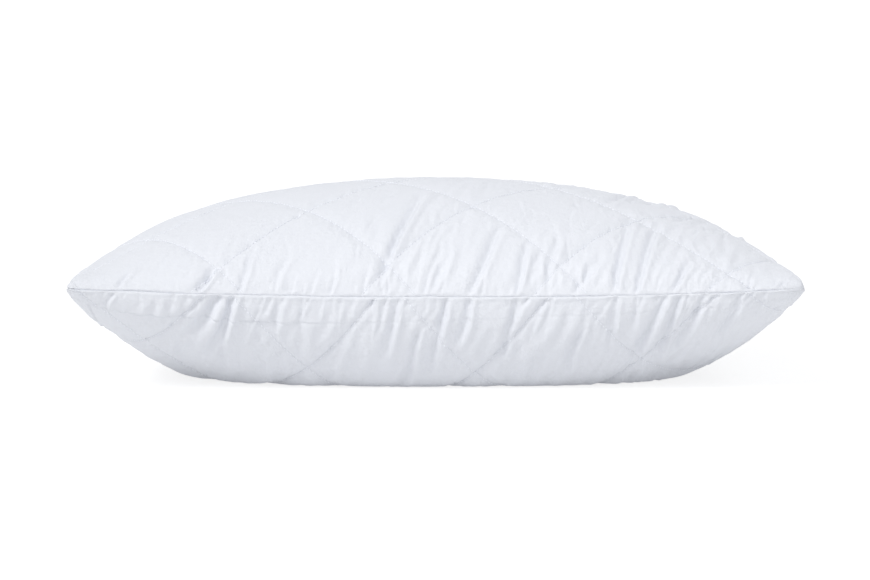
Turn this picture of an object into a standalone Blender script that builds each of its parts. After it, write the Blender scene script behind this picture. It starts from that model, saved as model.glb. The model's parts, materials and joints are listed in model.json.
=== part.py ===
"""Quilted bed pillow, 50 x 70 cm before stuffing, lying on its lower side.

Metres, +Z up. X runs along the long side, Y across it, and z = 0 is the surface that the pillow lies on. The closing
seam is the long edge at -Y. Each quilted side is a cover panel, a layer of wadding and a thin backing, nested like
bowls around the loose fibre fill, and the quilting threads lie between the cover and the wadding.
"""

import math

import bmesh
import bpy
from mathutils import Vector

# Stuffed size
LENGTH = 0.664  # corner to corner along X
DEPTH = 0.443  # corner to corner along Y
CORNER_ROUNDING = 0.006  # how far the sides stand out past the corners' tips
CORNER_SHARPNESS = 16  # power of u * v that keeps the rounding close to the corners
SEAM_HEIGHT = 0.1005  # of the seam at the corners
SEAM_SAG = 0.009  # the long seams hang this much lower at their middle
TOP_RISE = 0.0895  # crown above the seam
BOTTOM_DROP = 0.142  # how deep the lower side would bulge with nothing under it
SIDE_PULL = 0.035  # share by which the short edges pull in at their middle
FRONT_PULL = 0.060  # the same for the long edges

# How full the sides are: the exponent of (1 - u^2) along X and of (1 - v^2) along Y
TOP_FULLNESS = (0.60, 0.55)
BOTTOM_FULLNESS = (0.42, 0.70)
ARC_SHARE = (0.15, 0.45)  # how much the cloth's even spacing bunches towards the edges, along X and Y

# Cloth cut
CUT_LENGTH = 0.700
CUT_DEPTH = 0.500

# Faces of the layers, each as its inset from the pillow's surface and its inset from the seam's edge. The second is
# the larger, because the layers thin out towards the seam and the surface rises slowly from it at the corners.
GAP = 0.0003
COVER = ((0.0, 0.0), (0.0008, 0.006))
WADDING = ((0.0027, 0.009), (0.0077, 0.024))
BACKING = ((0.0080, 0.025), (0.0088, 0.028))
FILL = (0.0091, 0.030)
THREAD_LEVELS = (((0.0013, 0.0070), (0.0016, 0.0073)), ((0.0020, 0.0080), (0.0023, 0.0083)))

# Seam
SEAM_HALF_GAP = 0.0006  # between the seam's middle plane and each panel's seam allowance
ALLOWANCE_WIDTH = 0.020
ALLOWANCE_THICKNESS = 0.0008
LINING_LIFT = SEAM_HALF_GAP + ALLOWANCE_THICKNESS + GAP  # wadding and backing stand on the seam allowance
SEAM_THREAD_INSET = 0.004
SEAM_THREAD_WIDTH = 0.0010
SEAM_THREAD_THICKNESS = 0.0006
SEAM_THREAD_BREAK = 0.006  # between the closing seam's thread and the other three sides' thread

# Quilting: two families of parallel lines that cross as diamonds
DIAMOND_LENGTH = 0.152  # along X
DIAMOND_DEPTH = 0.183  # along Y
QUILT_THREAD_WIDTH = 0.0006
QUILT_REACH = 0.945  # the thread ends at this share of the way to the seam
SHORTEST_QUILT_LINE = 0.060
QUILT_CROSSING = {"top": (-0.042, -0.220), "bottom": (-0.040, -0.262)}  # X and Y of one crossing, on the flat cloth

# Care label, a folded tape sewn into the back seam
LABEL_X = -0.220
LABEL_WIDTH = 0.035
LABEL_DROP = 0.050
LABEL_PLY = 0.0004
LABEL_FOLD_GAP = 0.0006
LABEL_CLEARANCE = 0.0012  # from the seam's edge
LABEL_FOLD_STEPS = 6
LABEL_SEWN_DEPTH = 0.004  # below it the two plies part

COLUMNS = 16
ROWS = 12
SMALL = 1e-9
CLOSEST_STATIONS = 0.004  # as a share of a quilting line's length
SHARP_ANGLE = math.radians(50)

# Each material's colour and roughness
WHITE_COTTON = ((0.86, 0.88, 0.92), 0.75)
WHITE_THREAD = ((0.90, 0.91, 0.94), 0.55)
WHITE_FIBRE = ((0.93, 0.93, 0.94), 0.90)
NONWOVEN = ((0.88, 0.88, 0.87), 0.85)
LABEL_SATIN = ((0.93, 0.93, 0.92), 0.45)


def clear_scene():
    for obj in list(bpy.data.objects):
        bpy.data.objects.remove(obj, do_unlink=True)


def material(name, finish):
    colour, roughness = finish
    made = bpy.data.materials.new(name)
    made.use_nodes = True
    shader = made.node_tree.nodes["Principled BSDF"]
    shader.inputs["Base Color"].default_value = (*colour, 1.0)
    shader.inputs["Roughness"].default_value = roughness
    shader.inputs["Metallic"].default_value = 0.0
    return made


def new_object(name, mesh_builder, surface):
    """Links the finished bmesh as an object, with its faces turned outwards."""
    bmesh.ops.recalc_face_normals(mesh_builder, faces=mesh_builder.faces[:])
    mesh = bpy.data.meshes.new(name)
    mesh_builder.to_mesh(mesh)
    mesh_builder.free()
    mesh.shade_smooth()
    mesh.set_sharp_from_angle(angle=SHARP_ANGLE)
    mesh.materials.append(surface)
    obj = bpy.data.objects.new(name, mesh)
    bpy.context.scene.collection.objects.link(obj)
    return obj


def bunched(share, position):
    """Moves an even position from -1 to 1 towards the nearer edge, as cloth is spaced over a dome."""
    return (1 - share) * position + share * math.sin(position * math.pi / 2)


def splits_upwards(column, row):
    """Whether the diagonal of this grid cell rises with X. Each quarter's diagonals point at its corner."""
    return (column < COLUMNS / 2) == (row < ROWS / 2)


class Side:
    """One quilted side. sign is +1 for the upper side and -1 for the lower one."""

    def __init__(self, name, sign, rise, fullness):
        self.name = name
        self.sign = sign
        self.rise = rise
        self.fullness = fullness

    def corner(self, column, row, face, lift):
        """The point of a grid corner on a layer's face, given as its two insets.

        lift is the height of that face above the seam's middle plane at its edge.
        """
        inset, edge = face
        u = bunched(ARC_SHARE[0], 2 * column / COLUMNS - 1)
        v = bunched(ARC_SHARE[1], 2 * row / ROWS - 1)
        outwards = CORNER_ROUNDING * (1 - (u * v) ** CORNER_SHARPNESS) - edge
        x = u * (1 - SIDE_PULL * (1 - v * v) * u * u) * (LENGTH / 2 + outwards)
        y = v * (1 - FRONT_PULL * (1 - u * u) * v * v) * (DEPTH / 2 + outwards)
        seam = SEAM_HEIGHT - SEAM_SAG * (1 - u * u) * v * v
        power_x, power_y = self.fullness
        swell = max(1 - u * u, 0.0) ** power_x * max(1 - v * v, 0.0) ** power_y
        z = seam + self.sign * (lift + (self.rise - inset - lift) * swell)
        if self.sign < 0:
            z = max(z, inset)
        return Vector((x, y, z))

    def point(self, s, t, face, lift):
        """A point of a layer's face at cloth position s, t from -1 to 1, on the facet that holds it."""
        column_at = (s + 1) / 2 * COLUMNS
        row_at = (t + 1) / 2 * ROWS
        column = min(int(column_at), COLUMNS - 1)
        row = min(int(row_at), ROWS - 1)
        a = column_at - column
        b = row_at - row
        if not splits_upwards(column, row):
            return self.mirrored_point(column, row, 1 - a, b, face, lift)
        low = self.corner(column, row, face, lift)
        high = self.corner(column + 1, row + 1, face, lift)
        if a >= b:
            turn = self.corner(column + 1, row, face, lift)
            return low * (1 - a) + turn * (a - b) + high * b
        turn = self.corner(column, row + 1, face, lift)
        return low * (1 - b) + turn * (b - a) + high * a

    def mirrored_point(self, column, row, a, b, face, lift):
        """The same in a cell whose diagonal falls, with a counted from the cell's far column."""
        low = self.corner(column + 1, row, face, lift)
        high = self.corner(column, row + 1, face, lift)
        if a >= b:
            turn = self.corner(column, row, face, lift)
            return low * (1 - a) + turn * (a - b) + high * b
        turn = self.corner(column + 1, row + 1, face, lift)
        return low * (1 - b) + turn * (b - a) + high * a


TOP = Side("top", 1, TOP_RISE, TOP_FULLNESS)
BOTTOM = Side("bottom", -1, BOTTOM_DROP, BOTTOM_FULLNESS)


def edge_positions():
    """The grid corners round the edge, in order."""
    ring = [(column, 0) for column in range(COLUMNS)]
    ring += [(COLUMNS, row) for row in range(ROWS)]
    ring += [(column, ROWS) for column in range(COLUMNS, 0, -1)]
    ring += [(0, row) for row in range(ROWS, 0, -1)]
    return ring


def add_dome(builder, side, face, lift, edge_ring=None):
    """Adds one face of a layer and returns the ring of vertices round its edge."""
    grid = {}
    for row in range(ROWS + 1):
        for column in range(COLUMNS + 1):
            grid[column, row] = builder.verts.new(side.corner(column, row, face, lift))
    ring = [grid[place] for place in edge_positions()]
    if edge_ring:
        for place, shared, own in zip(edge_positions(), edge_ring, ring):
            builder.verts.remove(own)
            grid[place] = shared
        ring = edge_ring
    for row in range(ROWS):
        for column in range(COLUMNS):
            cell = [grid[column, row], grid[column + 1, row], grid[column + 1, row + 1], grid[column, row + 1]]
            if not splits_upwards(column, row):
                cell = cell[1:] + cell[:1]
            builder.faces.new((cell[0], cell[1], cell[2]))
            builder.faces.new((cell[0], cell[2], cell[3]))
    return ring


def add_ring(builder, side, inset, height):
    """Adds a ring of vertices round the pillow, inset from its edge, at one height above the seam's plane."""
    face = (0.0, inset)
    return [builder.verts.new(side.corner(column, row, face, height)) for column, row in edge_positions()]


def bridge(builder, first, second):
    count = len(first)
    for at in range(count):
        following = (at + 1) % count
        builder.faces.new((first[at], first[following], second[following]))
        builder.faces.new((first[at], second[following], second[at]))


def make_cover(side, surface):
    """A cover panel with its seam allowance turned in round the edge."""
    builder = bmesh.new()
    lift = SEAM_HALF_GAP + ALLOWANCE_THICKNESS
    outer = add_dome(builder, side, COVER[0], SEAM_HALF_GAP)
    under = add_ring(builder, side, ALLOWANCE_WIDTH, SEAM_HALF_GAP)
    over = add_ring(builder, side, ALLOWANCE_WIDTH, lift)
    inner = add_dome(builder, side, COVER[1], lift)
    for first, second in ((outer, under), (under, over), (over, inner)):
        bridge(builder, first, second)
    return new_object(side.name + "_cover", builder, surface)


def make_lining(side, name, faces, surface):
    """A layer that lies inside a cover panel and ends on its seam allowance."""
    builder = bmesh.new()
    outer = add_dome(builder, side, faces[0], LINING_LIFT)
    inner = add_dome(builder, side, faces[1], LINING_LIFT)
    bridge(builder, outer, inner)
    return new_object(side.name + "_" + name, builder, surface)


def make_fill(surface):
    builder = bmesh.new()
    ring = add_dome(builder, TOP, FILL, 0.0)
    add_dome(builder, BOTTOM, FILL, 0.0, ring)
    return new_object("fibre_fill", builder, surface)


def make_ribbon(name, stations, surface):
    """A thin band from stations of four corners each: two on its outer face, then two on its inner face."""
    builder = bmesh.new()
    rings = [[builder.verts.new(corner) for corner in station] for station in stations]
    for first, second in zip(rings, rings[1:]):
        bridge(builder, first, second)
    builder.faces.new(rings[0])
    builder.faces.new(rings[-1])
    bmesh.ops.triangulate(builder, faces=[face for face in builder.faces if len(face.verts) > 3])
    return new_object(name, builder, surface)


def quilt_line_ends(offset, slope):
    """Where the line y = slope * (x - offset) enters and leaves the cloth, as the two X values."""
    reach_x = QUILT_REACH * CUT_LENGTH / 2
    reach_y = QUILT_REACH * CUT_DEPTH / 2
    across = sorted((offset - reach_y / slope, offset + reach_y / slope))
    return max(-reach_x, across[0]), min(reach_x, across[1])


def crease_stops(start, end):
    """The shares along a cloth line at which it crosses an edge between two facets, with both ends."""
    stops = {0.0, 1.0}
    (s0, t0), (s1, t1) = start, end
    first = ((s0 + 1) / 2 * COLUMNS, (t0 + 1) / 2 * ROWS)
    last = ((s1 + 1) / 2 * COLUMNS, (t1 + 1) / 2 * ROWS)
    walks = [
        (first[0], last[0], None),
        (first[1], last[1], None),
        (first[0] - first[1], last[0] - last[1], True),
        (first[0] + first[1], last[0] + last[1], False),
    ]
    for low, high, upwards in walks:
        if abs(high - low) < SMALL:
            continue
        for line in range(math.ceil(min(low, high)), math.floor(max(low, high)) + 1):
            stop = (line - low) / (high - low)
            column = int(first[0] + (last[0] - first[0]) * stop)
            row = int(first[1] + (last[1] - first[1]) * stop)
            if upwards is None or upwards == splits_upwards(column, row):
                stops.add(stop)
    tidy = []
    for stop in sorted(stops):
        if not tidy or stop - tidy[-1] > CLOSEST_STATIONS:
            tidy.append(stop)
    return tidy


def make_quilt_thread(side, name, offset, slope, level, surface):
    low_x, high_x = quilt_line_ends(offset, slope)
    start = (low_x / (CUT_LENGTH / 2), slope * (low_x - offset) / (CUT_DEPTH / 2))
    end = (high_x / (CUT_LENGTH / 2), slope * (high_x - offset) / (CUT_DEPTH / 2))
    stations = []
    length = math.hypot(high_x - low_x, slope * (high_x - low_x))
    side_s = -slope * (high_x - low_x) / length * QUILT_THREAD_WIDTH / CUT_LENGTH
    side_t = (high_x - low_x) / length * QUILT_THREAD_WIDTH / CUT_DEPTH
    lift = LINING_LIFT
    for stop in crease_stops(start, end):
        s = start[0] + (end[0] - start[0]) * stop
        t = start[1] + (end[1] - start[1]) * stop
        outer = [side.point(s + way * side_s, t + way * side_t, level[0], lift) for way in (-1, 1)]
        inner = [side.point(s + way * side_s, t + way * side_t, level[1], lift) for way in (1, -1)]
        stations.append(outer + inner)
    return make_ribbon(name, stations, surface)


def make_quilting(side, surface):
    """Both families of quilting lines on one side, numbered from the left."""
    steepness = DIAMOND_DEPTH / DIAMOND_LENGTH
    reach = CUT_LENGTH / 2 + CUT_DEPTH / 2 / steepness
    crossing_x, crossing_y = QUILT_CROSSING[side.name]
    for family, slope, level in (("a", steepness, THREAD_LEVELS[0]), ("b", -steepness, THREAD_LEVELS[1])):
        centre = crossing_x - crossing_y / slope
        first = math.ceil((-reach - centre) / DIAMOND_LENGTH)
        last = math.floor((reach - centre) / DIAMOND_LENGTH)
        number = 0
        for step in range(first, last + 1):
            offset = centre + step * DIAMOND_LENGTH
            low_x, high_x = quilt_line_ends(offset, slope)
            if (high_x - low_x) * math.hypot(1, steepness) < SHORTEST_QUILT_LINE:
                continue
            number += 1
            name = f"{side.name}_quilting_thread_{family}{number}"
            make_quilt_thread(side, name, offset, slope, level, surface)


def make_seam_thread(name, places, surface):
    """A thread that runs between the two seam allowances, through the given places of the edge."""
    stations = []
    half_width = SEAM_THREAD_WIDTH / 2
    half_height = SEAM_THREAD_THICKNESS / 2
    for column, row in places:
        outer = TOP.corner(column, row, (0.0, SEAM_THREAD_INSET - half_width), 0.0)
        inner = TOP.corner(column, row, (0.0, SEAM_THREAD_INSET + half_width), 0.0)
        rise = Vector((0, 0, half_height))
        stations.append([outer - rise, outer + rise, inner + rise, inner - rise])
    return make_ribbon(name, stations, surface)


def make_seam_threads(surface):
    spare = SEAM_THREAD_BREAK / LENGTH * COLUMNS
    spare_row = SEAM_THREAD_BREAK / DEPTH * ROWS
    front = [(spare, 0)] + [(column, 0) for column in range(1, COLUMNS)] + [(COLUMNS - spare, 0)]
    rest = [(COLUMNS, spare_row)] + [(COLUMNS, row) for row in range(1, ROWS + 1)]
    rest += [(column, ROWS) for column in range(COLUMNS - 1, -1, -1)]
    rest += [(0, row) for row in range(ROWS - 1, 0, -1)] + [(0, spare_row)]
    make_seam_thread("closing_seam_thread", front, surface)
    make_seam_thread("side_seam_thread", rest, surface)


def back_edge_at(x):
    """The seam's outermost point at one X, on the straight facets of the long back edge."""
    corners = [TOP.corner(column, ROWS, COVER[0], 0.0) for column in range(COLUMNS + 1)]
    for low, high in zip(corners, corners[1:]):
        if low.x <= x <= high.x:
            return low.lerp(high, (x - low.x) / (high.x - low.x))
    raise ValueError("x lies outside the pillow")


def make_label(surface):
    """The folded tape hangs from its parent empty, which lies on the line where the tape bends."""
    ends = [back_edge_at(LABEL_X + way * LABEL_WIDTH / 2) for way in (-1, 1)]
    hinge = Vector((LABEL_X, max(end.y for end in ends) + LABEL_CLEARANCE, min(end.z for end in ends)))
    pivot = bpy.data.objects.new("label_pivot", None)
    pivot.location = hinge
    bpy.context.scene.collection.objects.link(pivot)

    inner_radius = LABEL_FOLD_GAP / 2
    outer_radius = inner_radius + LABEL_PLY
    centre_drop = LABEL_DROP - outer_radius
    turns = [math.pi * step / LABEL_FOLD_STEPS for step in range(LABEL_FOLD_STEPS + 1)]
    outer = [(math.cos(turn) * outer_radius, -centre_drop - math.sin(turn) * outer_radius) for turn in turns]
    inner = [(math.cos(turn) * inner_radius, -centre_drop - math.sin(turn) * inner_radius) for turn in turns]
    sewn_end = -LABEL_PLY
    joined = sewn_end - LABEL_SEWN_DEPTH
    profile = [(outer_radius, sewn_end)] + outer + [(-outer_radius, sewn_end)]
    slot = [(-inner_radius, joined)] + inner[::-1] + [(inner_radius, joined)]

    builder = bmesh.new()
    layers = []
    for x in (-LABEL_WIDTH / 2, LABEL_WIDTH / 2):
        rim = [builder.verts.new((x, y + outer_radius, z)) for y, z in profile]
        hole = [builder.verts.new((x, y + outer_radius, z)) for y, z in slot]
        layers.append((rim, hole))
    for ring in (0, 1):
        bridge(builder, layers[0][ring], layers[1][ring])
    for rim, hole in layers:
        edges = []
        for loop in (rim, hole):
            for first, second in zip(loop, loop[1:] + loop[:1]):
                edges.append(builder.edges.get((first, second)))
        bmesh.ops.triangle_fill(builder, use_beauty=True, use_dissolve=False, edges=edges)
    label = new_object("care_label", builder, surface)
    label.parent = pivot
    return label


def build():
    clear_scene()
    cotton = material("white_cotton", WHITE_COTTON)
    thread = material("white_thread", WHITE_THREAD)
    fibre = material("polyester_fibre", WHITE_FIBRE)
    nonwoven = material("nonwoven_backing", NONWOVEN)
    satin = material("label_satin", LABEL_SATIN)
    for side in (TOP, BOTTOM):
        make_cover(side, cotton)
        make_lining(side, "wadding", WADDING, fibre)
        make_lining(side, "backing", BACKING, nonwoven)
        make_quilting(side, thread)
    make_fill(fibre)
    make_seam_threads(thread)
    make_label(satin)


build()
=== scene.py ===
"""The quilted pillow's looks around its CAD frame: creased cotton covers, stitches, lining, fill and label.

Metres, +Z up. A place on the cloth is given on the flat cut, from the middle of the panel, as across (along X)
and along (along Y). The closing seam is the edge at the lowest along.
"""

import collections
import json
import math

import bpy
import numpy as np
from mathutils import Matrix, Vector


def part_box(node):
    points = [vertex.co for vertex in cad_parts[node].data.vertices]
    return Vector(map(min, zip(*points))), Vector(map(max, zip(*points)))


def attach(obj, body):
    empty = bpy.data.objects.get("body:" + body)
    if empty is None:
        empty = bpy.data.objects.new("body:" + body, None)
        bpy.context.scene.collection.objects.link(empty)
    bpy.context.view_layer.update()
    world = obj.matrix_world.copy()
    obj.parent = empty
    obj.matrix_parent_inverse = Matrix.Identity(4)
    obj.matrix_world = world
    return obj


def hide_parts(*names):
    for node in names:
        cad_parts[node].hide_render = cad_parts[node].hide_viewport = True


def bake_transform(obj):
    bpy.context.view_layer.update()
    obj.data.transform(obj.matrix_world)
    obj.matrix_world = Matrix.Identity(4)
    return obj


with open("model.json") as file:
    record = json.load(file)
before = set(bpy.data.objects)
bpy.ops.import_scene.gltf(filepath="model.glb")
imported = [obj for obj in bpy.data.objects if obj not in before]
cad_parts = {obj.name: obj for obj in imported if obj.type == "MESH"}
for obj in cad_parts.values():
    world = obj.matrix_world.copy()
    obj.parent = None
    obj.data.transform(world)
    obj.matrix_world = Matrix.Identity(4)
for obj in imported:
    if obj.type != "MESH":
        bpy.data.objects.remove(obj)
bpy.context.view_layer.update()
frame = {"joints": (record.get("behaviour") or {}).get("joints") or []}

# ------- the pillow's form, from the frame
cover_high = np.array(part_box("top_cover")[1])
seam_low, seam_high = (np.array(corner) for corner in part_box("closing_seam_thread"))
label_low, label_high = (np.array(corner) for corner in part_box("care_label"))
hinge = np.array(next(joint for joint in frame["joints"] if joint["name"] == "label_bend")["pos_m"])
THREAD_HALF_THICKNESS = 0.0003
CORNER_ROUNDING = 0.006
CORNER_SHARPNESS = 16
LENGTH = 0.664
DEPTH = 0.443
HALF = np.array([LENGTH / 2, DEPTH / 2]) + CORNER_ROUNDING
SEAM_HEIGHT = seam_high[2] - THREAD_HALF_THICKNESS
SEAM_SAG = seam_high[2] - seam_low[2] - 2 * THREAD_HALF_THICKNESS
TOP_RISE = cover_high[2] - SEAM_HEIGHT
BOTTOM_DROP = 0.142  # how deep the lower side would bulge with nothing under it
SIDE_PULL = 0.035
FRONT_PULL = 0.060
TOP_FULLNESS = (0.60, 0.55)
BOTTOM_FULLNESS = (0.42, 0.70)
FLOOR_ROUNDING = 0.008
TIP_PLUMPNESS = 0.004  # extra height close to the upper side's tips
TIP_REACH = 0.06
TIP_EDGE = (0.012, 0.03)

# ------- cloth
CUT = np.array([0.350, 0.250])  # half of the flat cut, across and along
ALLOWANCE = 0.018
HALF_GAP = 0.0004  # between the two turned-in allowances
DIAMOND = np.array([0.152, 0.183])
QUILT_REACH = 0.945  # a line that is too short up to here is left out
STITCHED_REACH = 0.992
QUILT_SLOPE = DIAMOND[1] / DIAMOND[0]
QUILT_SPACING = DIAMOND[1] * math.cos(math.atan(QUILT_SLOPE))
SHORTEST_QUILT_LINE = 0.060
PUFF = 0.0012
PUFF_REACH = 0.018
GROOVE_REACH = 0.0022
STITCH_PITCH = 0.0042
STITCH_SHARE = 0.66
STITCH_RADIUS = 0.00046
STITCH_SIDES = 6
STITCH_DIP = np.array([-1.3, 0.50, 0.95, 0.50, -1.3])  # a stitch's height along its length, in radii
STITCH_PLACES = np.linspace(-0.5, 0.5, len(STITCH_DIP)) * STITCH_SHARE

SEAM_GRID = np.array([0.0, 0.0005, 0.0011, 0.0019, 0.0029, 0.0042])  # the final grid's places by a seam
SEAM_TUCK = 0.0007
SEAM_TUCK_REACH = 0.0009
SEAM_WANDER = 0.0007
LIP_PLACE = 0.0032
LIP_REACH = 0.0019
HEM_STEP = 0.0010
HEM_PLACE = 0.0200
HEM_SLANT = 0.0125  # how much wider the hem is at the left corner
SEAM_TUCK_FROM_CORNER = 0.080
HEM_GROOVE = 0.0011
HEM_GROOVE_REACH = 0.0009

SEAM_STITCH_PITCH = 0.0028
SEAM_STITCH_RADIUS = 0.00028
SEAM_STITCH_INSET = 0.0013
SEAM_STITCH_END = 0.010  # the seam's ends, where the stitches are sewn over at the corner

LAYER_COLUMNS = 113
LAYER_ROWS = 81
FULL_DEPTH_ROOM = 0.018  # where the pillow is thinner than this, the layers are too
WADDING_DEPTH = 0.0012
WADDING_THICKNESS = 0.0045
WADDING_EDGE = 0.010
BACKING_GAP = 0.0005
BACKING_DEPTH = WADDING_DEPTH + WADDING_THICKNESS + BACKING_GAP
BACKING_EDGE = 0.002
BACKING_LIFT = 2.2 * HALF_GAP  # off the seam's level, to lie on the cover's allowance
FILL_GAP = 0.0012
FILL_LUMPS = 0.004
FILL_EDGE = 0.024
FILL_GROOVE = 0.022
FILL_GROOVE_GAP = 0.002

LABEL_WIDTH = 0.035
LABEL_COLUMNS = 15
LABEL_ROWS = 23
LABEL_SEWN_IN = (0.014, 0.007)
LABEL_REST = (0.0, 0.002, 0.004, 0.006)  # from the seam, the places that the label has to clear
LABEL_THICKNESS = 0.00022
LABEL_PLY = 0.0005
LABEL_CLEARANCE = 0.0007
LABEL_BEND_RADIUS = 0.0022
LABEL_WAVE = 0.0012

# ------- relaxation of the cloth
GRID_COLUMNS = 352
GRID_ROWS = 252

# One pass of the relaxation, on every 4th, every 2nd or each grid point
Pass = collections.namedtuple("Pass", "coarse width seed_height spare gathered puckered steps")
PASSES = (
    Pass(4, 0.034, 0.0008, 0.008, 0.006, 0.000, 110),
    Pass(2, 0.015, 0.0008, 0.008, 0.022, 0.010, 130),
    Pass(1, 0.0075, 0.0004, 0.010, 0.026, 0.020, 120),
)
GATHER_REACH = 0.085
HOLD = 0.0016
STITCH_HOLD = 0.12
STITCH_HOLD_REACH = 0.003
SEAM_HOLD_REACH = 0.004
BENDING = 0.0012
PUSH = 0.42
MOMENTUM = 0.85
SIDESLIP_HOLD = 0.004
LIMIT = 0.0036  # the furthest that a point of the cloth moves off its form

# ------- creases
# Single deep folds, in millimetres: start across, start along, end across, end along, depth, half width
TOP_FOLDS = (
    (-48, -235, -12, -95, 3.2, 5.0), (28, -247, 62, -165, 3.0, 4.8),
    (69, -246, 88, -180, 2.4, 4.2), (98, -245, 111, -180, 1.6, 4.0),
    (160, -245, 182, -115, 2.6, 5.0), (179, -246, 205, -125, 2.8, 4.8),
    (211, -246, 228, -200, 2.0, 4.0), (-211, -247, -197, -215, 4.6, 4.0),
    (-175, -245, -160, -195, 2.2, 4.0), (-143, -245, -128, -205, 1.4, 4.0),
    (-283, -244, -274, -212, 1.6, 3.6), (0, -245, 8, -215, 1.2, 3.4),
    (196, 30, 160, -80, 3.0, 6.0), (262, -20, 226, -110, 3.0, 5.5),
    (236, 60, 205, -50, 5.0, 7.0), (320, 60, 298, -50, 5.0, 6.0),
)
BOTTOM_FOLDS = (
    (-190, -248, -234, -196, 4.5, 12.0), (-182, -247, -212, -165, 3.4, 6.0),
    (-181, -247, -196, -165, 3.0, 5.0), (-134, -247, -146, -205, 1.6, 4.0),
    (-30, -247, -47, -190, 2.6, 4.5), (12, -247, -12, -165, 3.0, 4.8),
    (-16, -215, -34, -150, 2.6, 4.8), (30, -247, 18, -200, 2.2, 4.2),
    (70, -247, 60, -185, 2.4, 4.2), (128, -215, 117, -160, 2.0, 5.0),
    (162, -247, 154, -190, 1.8, 4.2), (206, -246, 172, -165, 3.6, 6.0),
    (218, -246, 196, -170, 3.4, 5.0), (238, -245, 214, -180, 2.6, 5.0),
    (270, -235, 256, -185, 1.8, 5.0), (-290, -245, -300, -215, 2.2, 3.6),
)
FOLD_WIDTH = 0.50
FOLD_DEPTH = 0.85
FOLD_SHARE_RELAXED = 0.35
CREASE_MARGIN = 0.014
PUCKER_SPACING = 0.0065
PUCKER_DEPTH = 0.0008

# A seeded scatter of fine creases: across and along hold the lowest and highest start, angles are in degrees
CREASE_FIELDS = "sides count across along angle angle_spread lengths depth widening"
Creases = collections.namedtuple("Creases", CREASE_FIELDS, defaults=(1.0,))

FRONT = (-CUT[1] + 0.001, -CUT[1] + 0.001)
BACK = (CUT[1] - 0.001, CUT[1] - 0.001)
LEFT = (-CUT[0] + 0.001, -CUT[0] + 0.001)
RIGHT = (CUT[0] - 0.001, CUT[0] - 0.001)
FINE_CREASES = (
    Creases("top", 66, (-0.14, 0.32), FRONT, 75, 9, (0.010, 0.055), 0.0014),
    Creases("top", 14, (-0.208, -0.166), (-0.246, -0.210), 80, 28, (0.008, 0.018), 0.0015),
    Creases("top", 6, (-0.294, -0.270), (-0.247, -0.235), 95, 24, (0.006, 0.014), 0.0010),
    Creases("top", 16, (-0.32, -0.14), FRONT, 78, 12, (0.006, 0.028), 0.0008),
    Creases("top", 84, (-0.10, 0.28), (-0.235, -0.02), 76, 10, (0.014, 0.050), 0.0011),
    Creases("top", 24, (-0.30, -0.10), (-0.225, 0.05), 72, 16, (0.012, 0.035), 0.0004),
    Creases("bottom", 84, (-0.24, 0.30), FRONT, 106, 8, (0.010, 0.060), 0.0014),
    Creases("bottom", 9, (-0.33, -0.24), FRONT, 106, 10, (0.006, 0.030), 0.0008),
    Creases("bottom", 84, (-0.25, 0.28), (-0.230, -0.10), 107, 10, (0.014, 0.045), 0.0011),
    Creases("both", 80, (-0.33, 0.33), BACK, 265, 11, (0.010, 0.055), 0.0016, 1.2),
    Creases("both", 24, (-0.29, 0.29), BACK, 262, 9, (0.040, 0.090), 0.0030, 2.0),
    Creases("both", 70, (-0.28, 0.28), (0.06, 0.22), 265, 12, (0.014, 0.045), 0.0010, 1.2),
    Creases("both", 30, LEFT, (-0.20, 0.20), 4, 12, (0.012, 0.060), 0.0022, 1.9),
    Creases("both", 30, RIGHT, (-0.20, 0.20), 176, 12, (0.012, 0.060), 0.0022, 1.9),
)


# ------- small tools
def ramp(low, high, value):
    """A smooth rise from 0 at low to 1 at high."""
    share = np.clip((value - low) / (high - low), 0, 1)
    return share * share * (3 - 2 * share)


def between(table, rows, columns, a, b):
    """The value a of the way between the columns and b of the way between the rows."""
    low, high = (table[row, columns[0]] * (1 - a) + table[row, columns[1]] * a for row in rows)
    return low * (1 - b) + high * b


def noise(x, y, seed):
    """Smooth random values, about -1 to 1, that change over one unit of x and y."""
    size = 64
    table = np.random.default_rng(seed).uniform(-1, 1, (size, size))
    column = np.floor(x).astype(int)
    row = np.floor(y).astype(int)
    a = x - column
    b = y - row
    a = a * a * a * (a * (a * 6 - 15) + 10)
    b = b * b * b * (b * (b * 6 - 15) + 10)
    return between(table, (row % size, (row + 1) % size), (column % size, (column + 1) % size), a, b)


def streaks(across, along, angle, width, length, seed):
    """Noise drawn out in one direction, like creases of this width and length."""
    ahead = np.cos(angle) * across + np.sin(angle) * along
    aside = -np.sin(angle) * across + np.cos(angle) * along
    aside = aside + 0.5 * width * noise(ahead / (length * 0.5), aside / (width * 4), seed + 1)
    return noise(aside / width * 2, ahead / length, seed)


def resampled(field, rows_at, columns_at):
    """The field at fractional rows and columns, with a smooth cubic between grid points."""

    def taps(places, count):
        base = np.clip(np.floor(places).astype(int), 0, count - 2)
        t = places - base
        index = np.clip(base[:, None] + np.arange(-1, 3), 0, count - 1)
        weight = stacked(
            -0.5 * t + t ** 2 - 0.5 * t ** 3,
            1 - 2.5 * t ** 2 + 1.5 * t ** 3,
            0.5 * t + 2 * t ** 2 - 1.5 * t ** 3,
            -0.5 * t ** 2 + 0.5 * t ** 3,
        )
        return index, weight

    for places in (rows_at, columns_at):
        index, weight = taps(np.asarray(places, float), field.shape[0])
        shape = (-1,) + (1,) * (field.ndim - 1)
        field = sum(field[index[:, tap]] * weight[:, tap].reshape(shape) for tap in range(4))
        field = field.swapaxes(0, 1)
    return field


def unit(vectors):
    return vectors / np.maximum(np.linalg.norm(vectors, axis=-1, keepdims=True), 1e-12)


def stacked(*parts):
    return np.stack(parts, axis=-1)


def hump(value, reach):
    return np.exp(-(value / reach) ** 2)


def running_sum(steps):
    return np.concatenate([[0], np.cumsum(steps)])


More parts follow.
